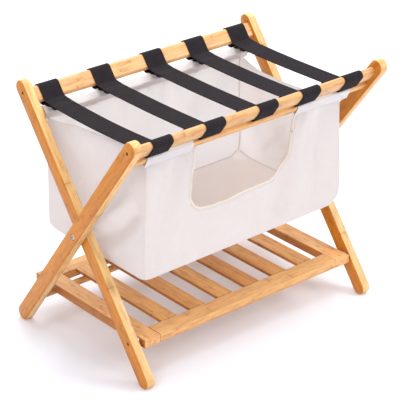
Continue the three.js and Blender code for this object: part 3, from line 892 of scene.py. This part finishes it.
class Places:
    """Where the flat cloth's points are: across, back and up the bag, and on which panels."""

    def __init__(self, flat, points):
        x, y, z = self.x, self.y, self.z = flat.T
        self.across = (x - LEFT) / (RIGHT - LEFT)
        self.back = (y - FRONT) / (BACK - FRONT)
        self.level = (z - BOTTOM) / (TOP - BOTTOM)
        self.to_side = np.minimum(x - LEFT, RIGHT - x)
        self.to_end = np.minimum(y - FRONT, BACK - y)
        self.off_side = smooth(self.to_side, 0, 0.04)
        self.off_end = smooth(self.to_end, 0, 0.04)
        self.off_bottom = smooth(self.level, 0, 0.16)
        self.off_top = smooth(1 - self.level, 0, 0.10)
        self.on_front = y < FRONT + 1e-6
        self.on_back = y > BACK - 1e-6
        self.on_left = x < LEFT + 1e-6
        self.on_right = x > RIGHT - 1e-6
        self.on_bottom = z < BOTTOM + 1e-6
        self.wavy = crinkle(points, 9.0, 3.1)
        self.fine = crinkle(points, 34.0, 7.7)


def bulge_front_and_back(points, at):
    """A belly and soft folds, gathers under the back casing, and room for the casings' lips."""
    belly = np.sin(math.pi * np.clip(at.level, 0, 1)) * 4 * at.across * (1 - at.across)
    free = at.off_side * at.off_top * at.off_bottom
    front_out = 0.004 * belly + ridges(FRONT_FOLDS, at.x, at.level) * at.off_bottom
    front_out += 0.0038 * at.wavy + 0.0009 * at.fine
    points[:, 1] -= at.on_front * free * front_out
    back_out = 0.006 * belly + ridges(BACK_FOLDS, at.x, at.level) * at.off_bottom
    back_out += 0.0026 * at.wavy + 0.0007 * at.fine
    gathers = 0.0030 * np.sin(at.x * 120 + 3 * np.sin(at.x * 17)) * smooth(at.level, 0.62, 0.96)
    points[:, 1] += at.on_back * (free * back_out + at.off_side * gathers)
    points[:, 1] += at.on_back * 0.006 * (1 - at.level)
    lip = TOP - CASING["lip"]
    tuck = CASING["tuck"] * smooth(at.z, lip - 0.004, lip + 0.001)
    points[:, 1] += tuck * (1.0 * at.on_front - at.on_back)


def dent_sides(points, at):
    """The side panels are drawn in along their middles, with slanting folds low down."""
    side_in = 0.013 * np.sin(math.pi * at.back) * smooth(at.level, 0.05, 0.9)
    slant = np.exp(-(((at.back - 0.25 - 0.5 * at.level) / 0.09) ** 2))
    side_in += 0.0045 * slant * smooth(at.level, 0.1, 0.5)
    slack = smooth(at.level, 0.04, 0.2) * (1 - smooth(at.level, 0.42, 0.7))
    side_in -= ridges(SIDE_FOLDS, at.back, at.level) * slack
    side_in += 0.0036 * at.wavy + 0.0009 * at.fine
    points[:, 0] += at.off_end * at.off_bottom * side_in * (1.0 * at.on_left - at.on_right)


def sag_bottom(points, at):
    """The bottom hangs lowest in its middle."""
    low = 0.006 * 4 * at.across * (1 - at.across) * 4 * at.back * (1 - at.back)
    points[:, 2] -= at.on_bottom * (low - 0.002 * at.wavy * at.off_side * at.off_end)


def taper(points, at):
    """The bag is narrower at its top, and its bottom tilts slightly."""
    rise = smooth(at.level, 0.05, 1.0)
    points[:, 0] += 0.009 * rise * (1 - 0.8 * at.back) * (1 - smooth(at.across, 0, 0.35))
    points[:, 0] -= 0.011 * rise * smooth(at.across, 0.65, 1)
    points[:, 2] += (1 - at.level) * (-0.003 + 0.008 * at.across)


def slope_top_edges(points, at):
    """The right side's top edge droops. The left side's slopes down to the back, under the bag bar."""
    droop = smooth(at.level, 0.55, 1.0) * 4 * at.back * (1 - at.back)
    points[:, 2] -= at.on_right * 0.012 * droop
    free_top = (-0.004 + 0.021 * (1 - smooth(at.back, 0, 1))) * smooth(at.level, 0.5, 1.0)
    below_bar = PIVOT.z + (SIDE_TOP_HEIGHT - np.abs(at.y) * math.sin(LEAN)) / math.cos(LEAN)
    left_top = np.minimum(points[:, 2] + free_top, np.maximum(below_bar, points[:, 2]))
    points[:, 2] = np.where(at.on_left, left_top, points[:, 2])


def blunt_corners(points, at):
    """The bottom's corners are pushed up and in, most of all on the right."""
    left = at.across < 0.5
    reach = np.where(left, 0.008, 0.019)
    lift = np.exp(-((at.to_side**2 + at.to_end**2) / reach**2))
    lift *= np.exp(-at.level * (TOP - BOTTOM) / reach)
    points[:, 0] += np.where(left, 0.002, -0.009) * lift
    points[:, 1] += np.where(at.back < 0.5, 0.002, -0.002) * lift
    points[:, 2] += np.where(left, 0.003, 0.012) * lift


def hang(flat):
    """Where each point of the box-shaped cloth comes to lie when the bag hangs from its bars."""
    points = soft_edges(flat)
    at = Places(flat, points)
    for step in (bulge_front_and_back, dent_sides, sag_bottom, taper, slope_top_edges, blunt_corners):
        step(points, at)
    return points


def flat_corner(rest, face):
    """A face's corners on the flat cloth: the panel's own two directions."""
    corners = rest[list(face)]
    spread = corners.max(0) - corners.min(0)
    thin = int(spread.argmin())
    keep = [axis for axis in range(3) if axis != thin]
    return [tuple(c[keep] + 0.013 * thin) for c in corners]


def bag_half(name, rest, points, normals, faces, end):
    """The cloth in front of the rack's middle, or behind it, as one closed skin."""
    sign = 1 if end is OUTER else -1
    mine = [f for f in faces if sign * rest[list(f), 1].mean() < 0]
    numbers = sorted({i for f in mine for i in f})
    renumber = {old: new for new, old in enumerate(numbers)}
    half = [tuple(renumber[i] for i in f) for f in mine]
    uvs = [flat_corner(rest, f) for f in mine]
    sides = [CANVAS, CANVAS_INSIDE]
    return shell(name, points[numbers], half, uvs, CLOTH, sides, normals[numbers])


# Sewn lines along the bag's edges: how far inside the cloth, and the tape's radius and flatness.
SEAM = {"inset": 0.0032, "radius": 0.0015, "flat": 0.6}
EDGE = {"inset": -0.0006, "radius": 0.0006, "flat": 1.0}


def bag_seams(points, normals, grid, end, row, span):
    """One half's seam tapes inside the bag, and the fine ridges along its outer upright edges."""
    where = "front" if end is OUTER else "back"
    last_x = len(XS) - 1
    pieces = []

    def trim(name, keys, kind):
        numbers = [grid[key] for key in keys]
        line = points[numbers] - normals[numbers] * kind["inset"]
        pieces.append(tube(name, line, kind["radius"], [SEAM_TAPE], flat=kind["flat"]))

    for side, column in (("left", 0), ("right", last_x)):
        upright = [(column, row, k) for k in range(len(ZS))]
        level = [(column, n, 0) for n in span]
        trim(f"bag_{where}_{side}_seam", upright[2:], SEAM)
        trim(f"bag_{side}_bottom_seam_{where}", level, SEAM)
        trim(f"bag_{where}_{side}_edge", upright[:-1], EDGE)
    along = [(n, row, 0) for n in range(2, last_x - 1)]
    trim(f"bag_{where}_bottom_seam", along, SEAM)
    return pieces


def window_trim(points, normals, window):
    """The binding round the window's edge, and the row of stitches beside it."""
    edge, out = points[window], normals[window]
    across = unit(np.cross(np.gradient(edge, axis=0), out))
    rim = edge + across * 0.0004
    binding = tube("bag_window_binding", rim, 0.0030, [BINDING], flat=0.42, side=out)
    lowest = int(edge[:, 2].argmin())
    away = -math.copysign(0.0062, across[lowest, 2])
    row = edge + across * away + out * CLOTH / 2
    return [binding, stitches("bag_window_stitches", [(row, out)], PALE_THREAD)]


def bag():
    """The bag's skin in two halves, each with its seams, and each moving with its own frame."""
    rest, faces, window, grid = BagSkin().arrays()
    points = hang(rest)
    normals = point_normals(points, faces)
    last_y = len(YS) - 1
    middle = min(range(len(YS)), key=lambda j: abs(YS[j]))
    trims = {
        OUTER: bag_seams(points, normals, grid, OUTER, 0, range(1, middle + 1)),
        INNER: bag_seams(points, normals, grid, INNER, last_y, range(middle, last_y)),
    }
    trims[OUTER] += window_trim(points, normals, window)
    for where, end in (("front", OUTER), ("back", INNER)):
        half = bag_half(f"bag_{where}_half", rest, points, normals, faces, end)
        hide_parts(f"bag_{where}_panel", "bag_left_panel", "bag_right_panel", "bag_bottom")
        for piece in [half] + trims[end]:
            fold_flat(piece, end)


def casing(node, end):
    """A sleeve of cloth round a bag bar, with two lips sewn to the panel below it."""
    low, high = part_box(node)
    away = CASING["gap"] + CASING["cloth"] / 2
    tall, deep = BAG_BAR["width"] / 2 + away, BAG_BAR["thickness"] / 2 + away
    turn = BAG_BAR["round"] + away

    def corner(height, inset):
        return end.at(BAG_BAR["height"] + height, BAG_BAR["inset"] + inset)

    out = -end.lean
    panel_y = FRONT if end is OUTER else BACK
    off = CLOTH / 2 + CASING["cloth"] / 2 + 0.0002
    outside, inside = panel_y + out * off, panel_y - out * off
    lip, bend = TOP - CASING["lip"], TOP - CASING["lip"] * 0.7
    round_bar = [corner(tall, -deep), corner(tall, deep), corner(-tall, deep)]
    corners = [(outside, lip), (outside, bend), *round_bar, (inside, bend), (inside, lip)]
    line = rounded(corners, [0.006, turn, turn, turn, 0.006], 0.003)
    if end is INNER:
        line = line[::-1]
    left = max(low.x, LEFT + 0.004) if end is OUTER else low.x
    across = np.linspace(left, high.x, max(8, round((high.x - left) / 0.006)))

    def gathered(points):
        moved = points.copy()
        for i, p in enumerate(points):
            ripple = noise.noise(Vector((p[0] * 55, p[1] * 12, p[2] * 12)))
            off = p[1:] - end.at(BAG_BAR["height"], 0)
            moved[i, 1:] += unit(off) * 0.0011 * max(ripple, -0.3)
        return moved

    cloth = CASING["cloth"]
    obj = ribbon(f"{node}_sleeve", line, across, cloth, [CANVAS_ON_WOOD], move=gathered)
    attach(obj, end.body)
    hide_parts(node)
    face = outside + out * CASING["cloth"] / 2
    row = np.array([(x, face, lip + 0.0015) for x in across[1:-1]])
    outwards = np.tile([0.0, out, 0.0], (len(row), 1))
    thread_rows = stitches(f"{node}_stitches", [(row, outwards)], PALE_THREAD, lift=0.0003)
    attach(thread_rows, end.body)
    size = (high.x - low.x, float(lengths(line)[-1]))


bag()
casing("bag_front_casing_left", OUTER)
casing("bag_front_casing_right", OUTER)
casing("bag_back_casing", INNER)

# ---- floor, lights and camera


def floor():
    """A plain pale floor with the faintest unevenness."""
    half = 15.0
    mesh = bpy.data.meshes.new("floor")
    corners = [(-half, -half, 0), (half, -half, 0), (half, half, 0), (-half, half, 0)]
    mesh.from_pydata(corners, [], [(0, 1, 2, 3)])
    obj = add_object("floor", mesh)
    look = Look("floor_paint", Specular_IOR_Level=0.2)
    place = look.place()
    cloud = look.noise(place, scale=1.5)
    colour = look.mix(cloud, (0.84, 0.86, 0.93), (0.87, 0.89, 0.955))
    mesh.materials.append(look.finish(colour, 0.8, cloud, 0.0002, 0.1))


LIGHTS_AIM = (0, 0, 0.3)


def area_light(name, place, size, power, colour):
    """A rectangular light at a place, which faces the rack's middle."""
    light = bpy.data.lights.new(name, "AREA")
    light.shape = "RECTANGLE"
    light.size, light.size_y = size
    light.energy = power
    light.color = colour
    obj = add_object(name, light)
    obj.location = place
    obj.rotation_euler = (Vector(LIGHTS_AIM) - Vector(place)).to_track_quat("-Z", "Y").to_euler()


def lights():
    """A white room with four soft lights: above, front right, back right, and a weaker one on the left."""
    world = bpy.data.worlds.new("studio")
    bpy.context.scene.world = world
    world.use_nodes = True
    background = world.node_tree.nodes["Background"].inputs
    background["Color"].default_value = (0.985, 0.98, 1.0, 1.0)
    background["Strength"].default_value = 0.78
    white = (1.0, 0.985, 0.97)
    area_light("overhead", (0.3, 0.2, 2.6), (2.0, 1.8), 43, white)
    area_light("front_right", (1.9, -2.2, 1.7), (1.3, 1.2), 40, white)
    area_light("back_right", (1.5, 1.7, 2.5), (1.6, 1.4), 30, white)
    area_light("left", (-2.4, -1.3, 1.9), (1.4, 1.2), 24, (1.0, 0.98, 0.965))


CAMERA = {"azimuth": 40.14, "elevation": 26.04, "distance": 3.7037, "lens": 155.0}
CAMERA_AIM = (0.0, 0.0, 0.254)


def camera():
    """The view from the front left and above."""
    azimuth, elevation = math.radians(CAMERA["azimuth"]), math.radians(CAMERA["elevation"])
    level = math.cos(elevation)
    away = Vector((-math.sin(azimuth) * level, -math.cos(azimuth) * level, math.sin(elevation)))
    data = bpy.data.cameras.new("camera")
    data.lens = CAMERA["lens"]
    data.sensor_width = 36.0
    obj = add_object("camera", data)
    obj.location = Vector(CAMERA_AIM) + away * CAMERA["distance"]
    obj.rotation_euler = (-away).to_track_quat("-Z", "Y").to_euler()
    bpy.context.scene.camera = obj


floor()
lights()
camera()
bpy.context.scene.view_settings.view_transform = "Standard"
